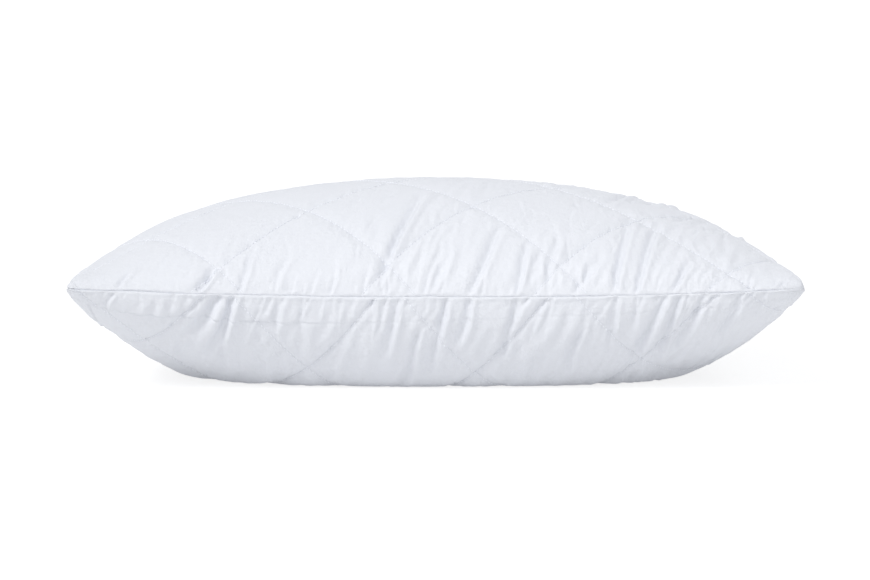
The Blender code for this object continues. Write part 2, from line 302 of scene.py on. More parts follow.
def arc_lengths(line):
    """How far along the line each of its points is."""
    return running_sum(np.linalg.norm(np.diff(line, axis=0), axis=1))


# ------- the smooth form
def even_spacing(half, rise, pull, power):
    """A table that turns even cloth places into places over a dome, by the dome's arc length."""
    v = np.sin(np.linspace(-math.pi / 2, math.pi / 2, 2001))
    y = v * half * (1 - pull * v * v)
    z = rise * np.maximum(1 - v * v, 0) ** power
    arc = running_sum(np.hypot(np.diff(y), np.diff(z)))
    return arc / arc[-1] * 2 - 1, v


ACROSS_TABLE = even_spacing(HALF[0], TOP_RISE, 0.0, TOP_FULLNESS[0])
ALONG_TABLE = even_spacing(HALF[1], TOP_RISE, FRONT_PULL, TOP_FULLNESS[1])


def rounded_floor(z, rounding):
    """Keeps z above the floor, easing into it over the rounding's height."""
    eased = (z + rounding) ** 2 / (4 * rounding)
    return np.where(z > rounding, z, np.where(z < -rounding, 0.0, eased))


def dome_place(across, along):
    """Where a flat cloth place lies over the dome, from -1 to 1 in both directions."""
    return np.interp(across / CUT[0], *ACROSS_TABLE), np.interp(along / CUT[1], *ALONG_TABLE)


def seam_level(across, along):
    """The height of the seam, level with each place."""
    u, v = dome_place(across, along)
    return SEAM_HEIGHT - SEAM_SAG * (1 - u * u) * v * v


class Side(collections.namedtuple("Side", "name sign seed rise fullness folds crossing grooves lip lean")):
    """One side of the pillow: sign is +1 for the upper one. Two quilting lines meet at the crossing, the
    grooves are for the rising and the falling lines, and lean is the angle of the creases at the front."""

    def form(self, across, along):
        """The smooth surface at flat cloth places."""
        u, v = dome_place(across, along)
        outwards = -CORNER_ROUNDING * (u * v) ** CORNER_SHARPNESS
        x = u * (1 - SIDE_PULL * (1 - v * v) * u * u) * (HALF[0] + outwards)
        y = v * (1 - FRONT_PULL * (1 - u * u) * v * v) * (HALF[1] + outwards)
        swell = np.maximum(1 - u * u, 0) ** self.fullness[0] * np.maximum(1 - v * v, 0) ** self.fullness[1]
        z = seam_level(across, along) + self.sign * self.rise * swell
        if self.sign < 0:
            z = rounded_floor(z, FLOOR_ROUNDING)
        else:
            end = 1 - np.abs(u)
            tip = TIP_PLUMPNESS * hump(end, TIP_REACH)
            z = z + tip * np.minimum(1, end / TIP_EDGE[0]) * np.minimum(1, (1 - np.abs(v)) / TIP_EDGE[1])
        return stacked(x, y, z)

    def quilt_distances(self, across, along):
        """For both slopes, how far each place is from its nearest quilting line."""
        found = []
        for slope in (QUILT_SLOPE, -QUILT_SLOPE):
            phase = ((along - self.crossing[1]) - slope * (across - self.crossing[0])) / DIAMOND[1]
            found.append(np.abs(phase - np.round(phase)) * QUILT_SPACING)
        return found


TOP = Side("top", 1, 11, TOP_RISE, TOP_FULLNESS, TOP_FOLDS, crossing=(-0.042, -0.220),
           grooves=(0.0008, 0.0004), lip=0.0003, lean=math.radians(75))
BOTTOM = Side("bottom", -1, 12, BOTTOM_DROP, BOTTOM_FULLNESS, BOTTOM_FOLDS, crossing=(-0.040, -0.262),
              grooves=(0.0003, 0.0016), lip=0.0009, lean=math.radians(107))


def surface_normals(points, sign):
    normals = np.cross(np.gradient(points, axis=1), np.gradient(points, axis=0))
    return unit(normals) * sign


def edge_distances(across, along):
    """How far each place is from the nearer side seam, and from the front or back one."""
    return CUT[0] - np.abs(across), CUT[1] - np.abs(along)


def seam_distance(across, along):
    return np.minimum(*edge_distances(across, along))


# ------- how the cloth creases
def crease_angle(side, across, along):
    """The direction of the creases: out of each seam, and leaning over in between."""
    parts = (
        (1.4 * np.exp(-(along + CUT[1]) / 0.10), side.lean),
        (1.2 * np.exp(-(CUT[1] - along) / 0.09), math.radians(95)),
        (1.0 * np.exp(-edge_distances(across, along)[0] / 0.045), 0.0),
        (0.35, side.lean),
    )
    doubled_x = sum(weight * np.cos(2 * angle) for weight, angle in parts)
    doubled_y = sum(weight * np.sin(2 * angle) for weight, angle in parts)
    return np.arctan2(doubled_y, doubled_x) / 2


def spare_cloth(side, across, along, stage):
    """The share of spare cloth across the creases, and the share along the stitch lines."""
    seam = seam_distance(across, along)
    patches = 0.8 + 1.0 * noise(across / 0.05 + 7, along / 0.06 + 3, side.seed * 10 + stage.coarse)
    spare = stage.spare + stage.gathered * np.exp(-seam / GATHER_REACH)
    if side.sign > 0:
        spare = spare * (0.5 + 0.6 * ramp(-0.15, 0.05, across))
    spare = spare * (0.25 + 0.75 * ramp(0.02, 0.10, edge_distances(across, along)[0]))
    near = np.minimum(*side.quilt_distances(across, along))
    return spare * np.clip(patches, 0.1, 2.2), stage.puckered * np.exp(-near / 0.010)


def cloth_edges(side, across, along, target, stage):
    """The neighbouring pairs of grid points, each with the length that its cloth wants to keep."""
    angle = crease_angle(side, across, along)
    spare, pucker = spare_cloth(side, across, along, stage)
    first, second = side.quilt_distances(across, along)
    stitch_angle = np.where(first < second, 1, -1) * math.atan(QUILT_SLOPE)
    edges = []
    for rows, columns, stiffness in ((0, 1, 1.0), (1, 0, 1.0), (1, 1, 0.35), (1, -1, 0.35)):
        here = (slice(0, target.shape[0] - rows), slice(max(0, -columns), target.shape[1] - max(0, columns)))
        there = (slice(rows, None), slice(max(0, columns), target.shape[1] + min(0, columns)))
        step = unit(stacked(across[there] - across[here], along[there] - along[here]))
        size = np.linalg.norm(target[there] - target[here], axis=-1)
        over = -np.sin(angle[here]) * step[..., 0] + np.cos(angle[here]) * step[..., 1]
        beside = np.cos(stitch_angle[here]) * step[..., 0] + np.sin(stitch_angle[here]) * step[..., 1]
        size = size * np.sqrt(1 + 2 * spare[here] * over ** 2 + 2 * pucker[here] * beside ** 2)
        edges.append((here, there, size.astype(np.float32), np.float32(stiffness)))
    return edges


def bending_force(points):
    """How strongly each point is pulled into line with its neighbours."""
    force = np.zeros_like(points)
    for axis in (0, 1):
        bend = np.zeros_like(points)
        ends = ((1, -1), (0, -2), (2, None))
        inner, before, after = ((slice(None),) * axis + (slice(*pair),) for pair in ends)
        bend[inner] = points[before] + points[after] - 2 * points[inner]
        force[inner] -= bend[before] + bend[after] - 2 * bend[inner]
    return force


def relax(side, across, along, target, stage):
    """Lets the cloth buckle: it is a little too large for its place, and the wadding holds it down."""
    normals = surface_normals(target, side.sign)
    length = stage.width * 4.5
    seeds = streaks(across, along, side.lean, stage.width, length, side.seed + stage.coarse)
    amount = 0.35 + np.exp(-seam_distance(across, along) / 0.07)
    points = target + normals * (seeds * amount * stage.seed_height)[..., None]
    edges = cloth_edges(side, across, along, target, stage)

    near = np.minimum(*side.quilt_distances(across, along))
    hold = HOLD + STITCH_HOLD * hump(near, STITCH_HOLD_REACH)
    hold += 0.3 * np.exp(-seam_distance(across, along) / SEAM_HOLD_REACH)
    arrays = (points, target, normals, hold[..., None])
    points, target, normals, hold = (array.astype(np.float32) for array in arrays)
    free = np.ones_like(hold)
    free[[0, -1], :] = 0
    free[:, [0, -1]] = 0
    moving = np.zeros_like(points)
    for _ in range(stage.steps):
        push = np.zeros_like(points)
        for here, there, size, stiffness in edges:
            span = points[there] - points[here]
            reach = np.sqrt((span * span).sum(axis=-1))
            pull = span * (stiffness * 0.5 * (1 - size / np.maximum(reach, 1e-9)))[..., None]
            push[here] += pull
            push[there] -= pull
        away = points - target
        height = (away * normals).sum(axis=-1, keepdims=True)
        back = normals * height * hold + SIDESLIP_HOLD * (away - normals * height)
        moving = MOMENTUM * moving + (push * PUSH + bending_force(away) * BENDING - back) * free
        points = points + moving
    away = (points - target).astype(float)
    size = np.linalg.norm(away, axis=-1, keepdims=True)
    return target + away * np.minimum(1, LIMIT / np.maximum(size, 1e-9))


def crease_line(across, along, start, end, spread, phase):
    """One crease: a sharp valley, shallow on its left and steep on its right, with a low ridge beyond."""
    run = np.array([end[0] - start[0], end[1] - start[1]])
    length = np.linalg.norm(run)
    share = ((across - start[0]) * run[0] + (along - start[1]) * run[1]) / length ** 2
    aside = ((across - start[0]) * run[1] - (along - start[1]) * run[0]) / length
    aside = aside * (1 if run[1] >= 0 else -1)
    aside = aside - spread * (0.9 * np.sin(share * 3.0 + phase) - 0.25 * np.sin(share * 7.0 + 2 * phase))
    spread = spread * (0.75 + 0.5 * np.clip(share, 0, 1))
    fade = ramp(-0.10, 0.10, share) * (1 - ramp(0.55, 1.12, share))
    away = np.sqrt(aside ** 2 + (0.30 * spread) ** 2) - 0.30 * spread
    valley = -np.exp(-away / np.where(aside < 0, 1.7 * spread, 0.85 * spread))
    ridge = 0.42 * hump(aside - 2.4 * spread, 1.3 * spread)
    return fade * (valley + ridge)


def drawn_folds(side, across, along):
    total = np.zeros_like(across)
    for number, fold in enumerate(side.folds):
        x0, y0, x1, y1, depth, width = (value / 1000 for value in fold)
        line = crease_line(across, along, (x0, y0), (x1, y1), FOLD_WIDTH * width, number)
        total += FOLD_DEPTH * depth * line
    return total


def add_crease(total, across, along, start, end, spread, depth, phase):
    """Adds one crease to the relief, over the part of the grid that it reaches."""
    low = np.minimum(start, end) - CREASE_MARGIN
    high = np.maximum(start, end) + CREASE_MARGIN
    columns = slice(*np.searchsorted(across[0], (low[0], high[0])))
    rows = slice(*np.searchsorted(along[:, 0], (low[1], high[1])))
    here = (rows, columns)
    total[here] += depth * crease_line(across[here], along[here], start, end, spread, phase)


def stitch_puckers(side, across, along):
    """Short creases that cross the rows of stitches."""
    total = np.zeros_like(across)
    random = np.random.default_rng(400 + side.seed)
    for _, start, end in quilt_lines(side):
        start, end = np.array([start, end])
        count = int(np.linalg.norm(end - start) / PUCKER_SPACING)
        for share in random.uniform(0, 1, count):
            angle = side.lean + random.normal(0, 0.30)
            half = 0.5 * random.uniform(0.007, 0.018) * np.array([math.cos(angle), math.sin(angle)])
            middle = start + (end - start) * share + random.normal(0, 0.0015, 2)
            depth = PUCKER_DEPTH * random.uniform(0.4, 1.0)
            spread = random.uniform(0.0009, 0.0014)
            ends = (middle - half, middle + half)
            add_crease(total, across, along, *ends, spread, depth, random.uniform(0, 6))
    return total


def fine_creases(side, across, along):
    total = np.zeros_like(across)
    for number, group in enumerate(FINE_CREASES):
        random = np.random.default_rng(900 + 10 * number + side.seed)
        if group.sides not in (side.name, "both"):
            continue
        for _ in range(group.count):
            start = (random.uniform(*group.across), random.uniform(*group.along))
            angle = math.radians(group.angle + random.normal(0, group.angle_spread))
            length = group.lengths[0] + (group.lengths[1] - group.lengths[0]) * random.uniform() ** 1.8
            end = (start[0] + length * math.cos(angle), start[1] + length * math.sin(angle))
            spread = random.uniform(0.0010, 0.0021) * group.widening
            depth = group.depth * random.uniform(0.35, 1.0) * min(1, (length / 0.030)) ** 0.5
            add_crease(total, across, along, start, end, spread, depth, random.uniform(0, 6))
    return total


def quilt_puff(side, across, along):
    """The quilting swells a little between its stitch lines."""
    near = np.minimum(*side.quilt_distances(across, along))
    return PUFF * (1 - np.exp(-near / PUFF_REACH)) * ramp(0.0, 0.03, seam_distance(across, along))


def creased_panel(side):
    """How far the creased cloth lies from the smooth form, on the finest grid."""
    moved = None
    for stage in PASSES:
        across = np.linspace(-CUT[0], CUT[0], GRID_COLUMNS // stage.coarse + 1)
        along = np.linspace(-CUT[1], CUT[1], GRID_ROWS // stage.coarse + 1)
        across, along = np.meshgrid(across, along)
        form = side.form(across, along)
        normals = surface_normals(form, side.sign)
        if moved is None:
            moved = normals * quilt_puff(side, across, along)[..., None]
        else:
            places = (np.linspace(0, old - 1, new) for old, new in zip(moved.shape, across.shape))
            moved = resampled(moved, *places)
        if stage.coarse == 2:
            moved = moved + normals * FOLD_SHARE_RELAXED * drawn_folds(side, across, along)[..., None]
        moved = relax(side, across, along, form + moved, stage) - form
    return moved


# ------- the cover's final grid
def graded(half, steps):
    """Places from -half to half: SEAM_GRID beside each seam, and the steps in between."""
    arc = running_sum(steps)
    inner = SEAM_GRID[-1] + arc[1:-1] / arc[-1] * 2 * (half - SEAM_GRID[-1])
    return np.concatenate([SEAM_GRID, inner, 2 * half - SEAM_GRID[::-1]]) - half


COLUMNS_AT = graded(CUT[0], np.full(556, 1.0))
# From the front seam: up to the hem line, the hem line itself, the creased front and the calmer rest.
ROW_STEPS = np.repeat([2.0, 0.66, 2.0], [7, 24, 33])
ROW_STEPS = np.concatenate([ROW_STEPS, np.linspace(2.0, 4.0, 24), np.full(63, 4.9)])
ROWS_AT = graded(CUT[1], ROW_STEPS)
ACROSS, ALONG = np.meshgrid(COLUMNS_AT, ROWS_AT)


def seam_outwards(across, along):
    """The level direction out of the nearer seam, turning smoothly round the corners."""
    flank, front = edge_distances(across, along)
    x = np.sign(across) * np.exp(-flank / 0.006)
    y = np.sign(along) * np.exp(-front / 0.006)
    return unit(stacked(x, y, 0 * x))


def seam_wander(across, along):
    """How far the seam strays up and down, the same for both panels."""
    turn = np.arctan2(along / CUT[1], across / CUT[0])
    shift = noise(turn * 14, 0 * turn + 3.5, 21) + 0.6 * noise(turn * 34, 0 * turn + 8.5, 22)
    return SEAM_WANDER * shift * np.exp(-seam_distance(across, along) / 0.012)


def finished_points(side, moved):
    form = side.form(ACROSS, ALONG)
    normals = surface_normals(form, side.sign)
    seam = seam_distance(ACROSS, ALONG)
    relief = np.zeros_like(seam)
    for groove, near in zip(side.grooves, side.quilt_distances(ACROSS, ALONG)):
        relief -= groove * hump(near, GROOVE_REACH) * ramp(0.0, 0.008, seam)
    if side.sign < 0:
        beyond = seam - HEM_PLACE - HEM_SLANT * np.clip((0.10 - ACROSS) / 0.40, 0, 1)
        step = HEM_STEP * (1 - 0.80 * ramp(-0.24, -0.04, ACROSS))
        relief += step * (1 - ramp(-0.0010, 0.0006, beyond)) * ramp(0.0, 0.004, seam)
        relief -= step / HEM_STEP * HEM_GROOVE * hump(beyond, HEM_GROOVE_REACH)
    outwards = side.lip * hump(seam - LIP_PLACE, LIP_REACH)
    corner = np.maximum(*edge_distances(ACROSS, ALONG))
    tuck = SEAM_TUCK * (0.15 + 0.85 * ramp(0.0, SEAM_TUCK_FROM_CORNER, corner))
    outwards -= tuck * np.exp(-(seam / SEAM_TUCK_REACH) ** 1.4)
    rows = (ROWS_AT + CUT[1]) / (2 * CUT[1]) * GRID_ROWS
    columns = (COLUMNS_AT + CUT[0]) / (2 * CUT[0]) * GRID_COLUMNS
    points = form + resampled(moved, rows, columns) * ramp(0.0, 0.0035, seam)[..., None]
    creases = sum(layer(side, ACROSS, ALONG) for layer in (drawn_folds, fine_creases, stitch_puckers))
    relief += creases * ramp(0.0, 0.0045, seam) * (0.25 + 0.75 * ramp(0.005, 0.040, corner))
    points += normals * relief[..., None] + seam_outwards(ACROSS, ALONG) * outwards[..., None]
    points[..., 2] += seam_wander(ACROSS, ALONG)
    if side.sign < 0:
        points[..., 2] = rounded_floor(points[..., 2] - 0.0004, 0.0006)
    return points


def ring_places(rows, columns):
    """The places round the edge of a grid, in order."""
    ring = [(0, column) for column in range(columns - 1)]
    ring += [(row, columns - 1) for row in range(rows - 1)]
    ring += [(rows - 1, column) for column in range(columns - 1, 0, -1)]
    ring += [(row, 0) for row in range(rows - 1, 0, -1)]
    return tuple(np.array(ring).T)


RING = ring_places(*ACROSS.shape)


# ------- meshes
def new_object(name, data):
    made = bpy.data.objects.new(name, data)
    bpy.context.scene.collection.objects.link(made)
    return made


def mesh_object(name, points, faces, material, flat=None):
    mesh = bpy.data.meshes.new(name)
    mesh.from_pydata(np.asarray(points, float).tolist(), [], [list(face) for face in faces])
    mesh.validate()
    if flat is not None:
        layer = mesh.uv_layers.new(name="cloth")
        loops = np.empty(len(mesh.loops), np.int32)
        mesh.loops.foreach_get("vertex_index", loops)
        layer.data.foreach_set("uv", np.asarray(flat, np.float32)[loops].ravel())
    mesh.shade_smooth()
    mesh.materials.append(material)
    return new_object(name, mesh)


def grid_faces(rows, columns, flip, start=0):
    index = np.arange(rows * columns).reshape(rows, columns) + start
    quads = stacked(index[:-1, :-1], index[:-1, 1:], index[1:, 1:], index[1:, :-1]).reshape(-1, 4)
    return quads[:, ::-1] if flip else quads


def strip_faces(first, second, flip):
    """Quads between two closed rings of vertex numbers."""
    quads = stacked(first, second, np.roll(second, -1), np.roll(first, -1))
    return quads[:, ::-1] if flip else quads


def drawn_in(ring, inset, lift):
    """A ring of points, drawn in on all sides and lifted."""
    ring = ring.copy()
    ring[:, :2] *= 1 - inset / HALF
    ring[:, 2] += lift
    return ring


def grid_object(name, grids, rings, flip, material, flat=None):
    """One grid of points, or an outer and an inner one, with rings joined on round the edge."""
    rows, columns = grids[0].shape[:2]
    size = rows * columns
    ring_rows, ring_columns = ring_places(rows, columns)
    edge = ring_rows * columns + ring_columns
    first_ring = len(grids) * size + np.arange(len(edge))
    loops = [edge] + [first_ring + step * len(edge) for step in range(len(rings))]
    if len(grids) == 2:
        loops.append(edge + size)
    faces = [grid_faces(rows, columns, flip != bool(number), number * size) for number in range(len(grids))]
    faces += [strip_faces(before, after, flip) for before, after in zip(loops, loops[1:])]
    points = np.concatenate([grid.reshape(-1, 3) for grid in grids] + rings)
    return mesh_object(name, points, np.concatenate(faces), material, flat)


def cover_object(side, points, material):
    """The cover panel, one sheet with its seam allowance turned in."""
    place = stacked(ACROSS, ALONG)
    shares = (0.06, 0.4, 1.0)
    rings = [drawn_in(points[RING], ALLOWANCE * share, side.sign * HALF_GAP) for share in shares]
    flat = [place.reshape(-1, 2)] + [place[RING] * (1 + ALLOWANCE * share / CUT) for share in shares]
    flat = np.concatenate(flat)
    return grid_object(side.name + "_cover_cloth", [points], rings, side.sign < 0, material, flat)


def sampled(points, across, along):
    """The cover's surface at any cloth places, between its grid points."""
    column_at = np.interp(across, COLUMNS_AT, np.arange(len(COLUMNS_AT)))
    row_at = np.interp(along, ROWS_AT, np.arange(len(ROWS_AT)))
    column = np.minimum(column_at.astype(int), len(COLUMNS_AT) - 2)
    row = np.minimum(row_at.astype(int), len(ROWS_AT) - 2)
    a = (column_at - column)[..., None]
    b = (row_at - row)[..., None]
    return between(points, (row, row + 1), (column, column + 1), a, b)


def stitches_object(name, middles, radius, material):
    """Small closed stitches. middles holds each one's centre line, as points and outward directions."""
    turns = (math.tau * np.arange(STITCH_SIDES) / STITCH_SIDES)[:, None]
    points = []
    faces = []
    for number, (line, outwards) in enumerate(middles):
        ahead = unit(np.gradient(line, axis=0))
        aside = unit(np.cross(ahead, outwards))
        upright = np.cross(aside, ahead)
        count = len(line)
        line = line.copy()
        line[:, 2] = np.maximum(line[:, 2], radius)
        swell = radius * (0.55 + 0.45 * np.sin(math.pi * (np.arange(count) + 0.5) / count))[:, None, None]
        around = aside[:, None] * np.cos(turns) + upright[:, None] * np.sin(turns)
        points.append((line[:, None] + around * swell).reshape(-1, 3))
        rings = (number * count * STITCH_SIDES + np.arange(count * STITCH_SIDES)).reshape(count, STITCH_SIDES)
        for first, second in zip(rings, rings[1:]):
            faces += strip_faces(first, second, False).tolist()
        faces += [rings[0].tolist(), rings[-1][::-1].tolist()]
    return mesh_object(name, np.concatenate(points), faces, material)


def stitch_run(side, points, start, end):
    """The centre lines of one straight row of stitches between two cloth places."""
    count = int(math.hypot(end[0] - start[0], end[1] - start[1]) / STITCH_PITCH)
    middle = (np.arange(count) + 0.5) / count
    place = middle[:, None] + STITCH_PLACES / count
    across = start[0] + (end[0] - start[0]) * place
    along = start[1] + (end[1] - start[1]) * place
    step = 0.0012
    centre = sampled(points, across, along)
    over = sampled(points, across + step, along) - sampled(points, across - step, along)
    up = sampled(points, across, along + step) - sampled(points, across, along - step)
    outwards = unit(np.cross(over, up)) * side.sign
    lines = centre + outwards * (STITCH_DIP * STITCH_RADIUS)[:, None]
    return list(zip(lines, outwards))


def quilt_lines(side):
    """Each quilting line's name, numbered from the left for each slope, and its two ends."""
    reach = CUT[0] + CUT[1] / QUILT_SLOPE
    for family, slope in (("a", QUILT_SLOPE), ("b", -QUILT_SLOPE)):
        middle = side.crossing[0] - side.crossing[1] / slope
        steps = [limit / DIAMOND[0] for limit in (-reach - middle, reach - middle)]
        number = 0
        for step in range(math.ceil(steps[0]), math.floor(steps[1]) + 1):
            offset = middle + step * DIAMOND[0]

            def ends(share):
                crossings = sorted((offset - share * CUT[1] / slope, offset + share * CUT[1] / slope))
                return max(-share * CUT[0], crossings[0]), min(share * CUT[0], crossings[1])

            low, high = ends(QUILT_REACH)
            if (high - low) * math.hypot(1, QUILT_SLOPE) < SHORTEST_QUILT_LINE:
                continue
            number += 1
            low, high = ends(STITCHED_REACH)
            yield family + str(number), (low, slope * (low - offset)), (high, slope * (high - offset))


# ------- seam stitches
def seam_stitch_run(line):
    """The centre lines of a seam's lockstitch: a row over the allowances and a row under them."""
    arc = arc_lengths(line)
    count = int((arc[-1] - 2 * SEAM_STITCH_END) / SEAM_STITCH_PITCH)
    places = SEAM_STITCH_END + (np.arange(count)[:, None] + 0.5 + STITCH_PLACES) * SEAM_STITCH_PITCH
    found = []
    for sign in (1, -1):
        shifted = places + (0.5 * SEAM_STITCH_PITCH if sign < 0 else 0.0)
        for place in shifted:
            middle = stacked(*(np.interp(place, arc, line[:, axis]) for axis in range(3)))
            middle[:, 2] += sign * (HALF_GAP + STITCH_DIP * SEAM_STITCH_RADIUS)
            found.append((middle, np.tile([0.0, 0.0, float(sign)], (len(middle), 1))))
    return found


# ------- inner layers
def layer_grid(edge_distance):
    """Places on the cloth that stop this far from the seams."""
    across = np.linspace(-1, 1, LAYER_COLUMNS) * (CUT[0] - edge_distance)
    along = np.linspace(-1, 1, LAYER_ROWS) * (CUT[1] - edge_distance)
    return np.meshgrid(across, along)


def lowest_nearby(raised, reach):
    """The lowest value within this many grid steps of each place."""
    for axis in (0, 1):
        around = [(reach, reach) if which == axis else (0, 0) for which in (0, 1)]
        padded = np.pad(raised, around, mode="edge")
        size = raised.shape[axis]
        shifts = [np.take(padded, np.arange(size) + shift, axis=axis) for shift in range(2 * reach + 1)]
        raised = np.min(shifts, axis=0)
    return raised


def layer_points(side, surface, across, along, depth):
    """A surface inside the cover's creases, at this depth or less where the pillow is thin."""
    fine = side.form(ACROSS, ALONG)
    raised = ((surface - fine) * surface_normals(fine, side.sign)).sum(axis=-1)
    lowest = sampled(lowest_nearby(raised, 5)[..., None], across, along)
    form = side.form(across, along)
    room = np.abs(form[..., 2] - seam_level(across, along))
    share = np.minimum(1, room / FULL_DEPTH_ROOM)
    return form + surface_normals(form, side.sign) * (lowest - (depth * share)[..., None])


def wadding_object(side, surface, material):
    across, along = layer_grid(WADDING_EDGE)
    outer = layer_points(side, surface, across, along, WADDING_DEPTH)
    inner = layer_points(side, surface, across, along, WADDING_DEPTH + WADDING_THICKNESS)
    return grid_object(side.name + "_wadding_pad", [outer, inner], [], side.sign < 0, material)


def seam_ring(surface, across, along, inset, lift):
    """The seam's edge, level with each point of a layer's edge, drawn in and lifted."""
    at = ring_places(*across.shape)
    flat = stacked(across[at], along[at])
    flat = flat / np.abs(flat).max(axis=0) * CUT
    return drawn_in(sampled(surface, flat[:, 0], flat[:, 1]), inset, lift)


def backing_object(side, surface, material):
    """The thin cloth inside the wadding, one sheet that is caught in the seam all round."""
    across, along = layer_grid(WADDING_EDGE)
    sheet = layer_points(side, surface, across, along, BACKING_DEPTH)
    outer = seam_ring(surface, across, along, BACKING_EDGE, side.sign * BACKING_LIFT)
    middle = (sheet[ring_places(*across.shape)] + outer) / 2
    return grid_object(side.name + "_backing_sheet", [sheet], [middle, outer], side.sign < 0, material)


def fill_object(surfaces, material):
    """The loose fibre, lumpy, with a groove round its edge where the seam allowance lies."""
    across, along = layer_grid(FILL_EDGE)
    grids = []
    for side in (TOP, BOTTOM):
        lumps = noise(across / 0.035, along / 0.035, side.seed + 70) ** 2
        depth = BACKING_DEPTH + FILL_GAP + FILL_LUMPS * lumps
        grids.append(layer_points(side, surfaces[side.name], across, along, depth))
    lifts = (FILL_GROOVE_GAP, -FILL_GROOVE_GAP)
    rings = [seam_ring(surfaces["top"], across, along, FILL_GROOVE, lift) for lift in lifts]
    return grid_object("fibre_fill_body", grids, rings, False, material)


# ------- label
def label_path(hang_at, bottom):
    """The tape's centre line as y and z: over the seam, down, round the fold and back up."""
    centre = (hang_at - LABEL_BEND_RADIUS, hinge[2] - LABEL_BEND_RADIUS)
    runs = []
    for gap in (LABEL_PLY, -LABEL_PLY):
        run = [(hinge[1] - length, hinge[2] + gap * 0.4) for length in LABEL_SEWN_IN]
        reach = LABEL_BEND_RADIUS + gap * 0.5
        for turn in np.linspace(0, math.pi / 2, 7):
            run.append((centre[0] + reach * math.sin(turn), centre[1] + reach * math.cos(turn)))
        heights = np.linspace(run[-1][1], bottom + LABEL_PLY, LABEL_ROWS + 1)[1:]
        for share, z in zip(np.linspace(0, 1, LABEL_ROWS), heights):
            run.append((hang_at + gap * 0.5 + gap * 0.9 * math.sin(math.pi * share), z))
        runs.append(np.array(run))
    fold = []
    for turn in (0.9, 1.57, 2.24):
        fold.append((hang_at + LABEL_PLY * 0.5 * math.cos(turn), bottom + LABEL_PLY * (1 - math.sin(turn))))
    return np.concatenate([runs[0], fold, runs[1][::-1]])


def label_object(surface, material):
    """A folded satin tape that comes out of the back seam and hangs down."""
    columns = np.linspace(-0.5, 0.5, LABEL_COLUMNS) * LABEL_WIDTH
    middle = (label_low[0] + label_high[0]) / 2
    cloth_at = np.interp(middle + columns, surface[-1, :, 0], COLUMNS_AT)
    seam, *near = (sampled(surface, cloth_at, 0 * cloth_at + (CUT[1] - reach)) for reach in LABEL_REST)
    hang_at = max(np.max(near, axis=0)[:, 1].max(), hinge[1]) + LABEL_CLEARANCE
    bottom = label_low[2] + LABEL_PLY
    path = label_path(hang_at, bottom)
    arc = arc_lengths(path)
    ahead = unit(np.gradient(path, axis=0))
    aside = stacked(-ahead[:, 1], ahead[:, 0])
    inside = 1 - ramp(hinge[1] - 0.006, hinge[1], path[:, 0])
    drop = np.clip((hinge[2] - path[:, 1]) / (hinge[2] - bottom), 0, 1)
    x = columns[:, None]
    wave = LABEL_WAVE * drop ** 1.5 * (np.cos(math.pi * x / LABEL_WIDTH * 1.3) - 0.4 * x / LABEL_WIDTH)
    grids = []
    for face in (1, -1):
        line = path + aside * face * LABEL_THICKNESS / 2
        z = line[:, 1] + inside * (seam[:, 2:] - hinge[2])
        grids.append(stacked(middle + x + 0 * z, line[:, 0] + wave, z))
    flat = stacked(x + 0 * arc, arc - arc[-1] / 2 + 0 * x).reshape(-1, 2)
    made = grid_object("care_label_tape", grids, [], False, material, np.concatenate([flat, flat]))
    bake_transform(made)
    return made, arc[-1]


# ------- materials
COTTON_COLOURS = (0.745, 0.762, 0.808, 1), (0.785, 0.802, 0.848, 1)
# painted shade: a grey that darkens the cotton along the rows of quilting stitches, in place of the shade in
# their dents
STITCH_LINE_SHADE_COLOUR = (0.60, 0.62, 0.68, 1)
THREAD_COLOURS = (0.855, 0.875, 0.925, 1), (0.915, 0.935, 0.985, 1)
FIBRE_COLOURS = (0.80, 0.81, 0.82, 1), (0.92, 0.925, 0.93, 1)
BACKING_COLOURS = (0.76, 0.77, 0.78, 1), (0.88, 0.885, 0.89, 1)
SATIN_COLOURS = (0.80, 0.812, 0.845, 1), (0.88, 0.89, 0.915, 1)
SATIN_LINE_COLOUR = (0.55, 0.56, 0.60, 1)
YARN_SPACING = 0.00042
DIMPLE_REACH = 0.0011
SELVEDGE_RIB = 0.0004
FLOOR_RADIUS = 18
FLOOR_GAP = 0.0002


def make_node(tree, kind, inputs, **settings):
    """A shader node with these settings. Each input is linked to a socket or set to a value."""
    made = tree.nodes.new("ShaderNode" + kind)
    for name, value in settings.items():
        setattr(made, name, value)
    for key, value in inputs.items():
        if isinstance(value, bpy.types.NodeSocket):
            tree.links.new(value, made.inputs[key])
        else:
            made.inputs[key].default_value = value
    return made


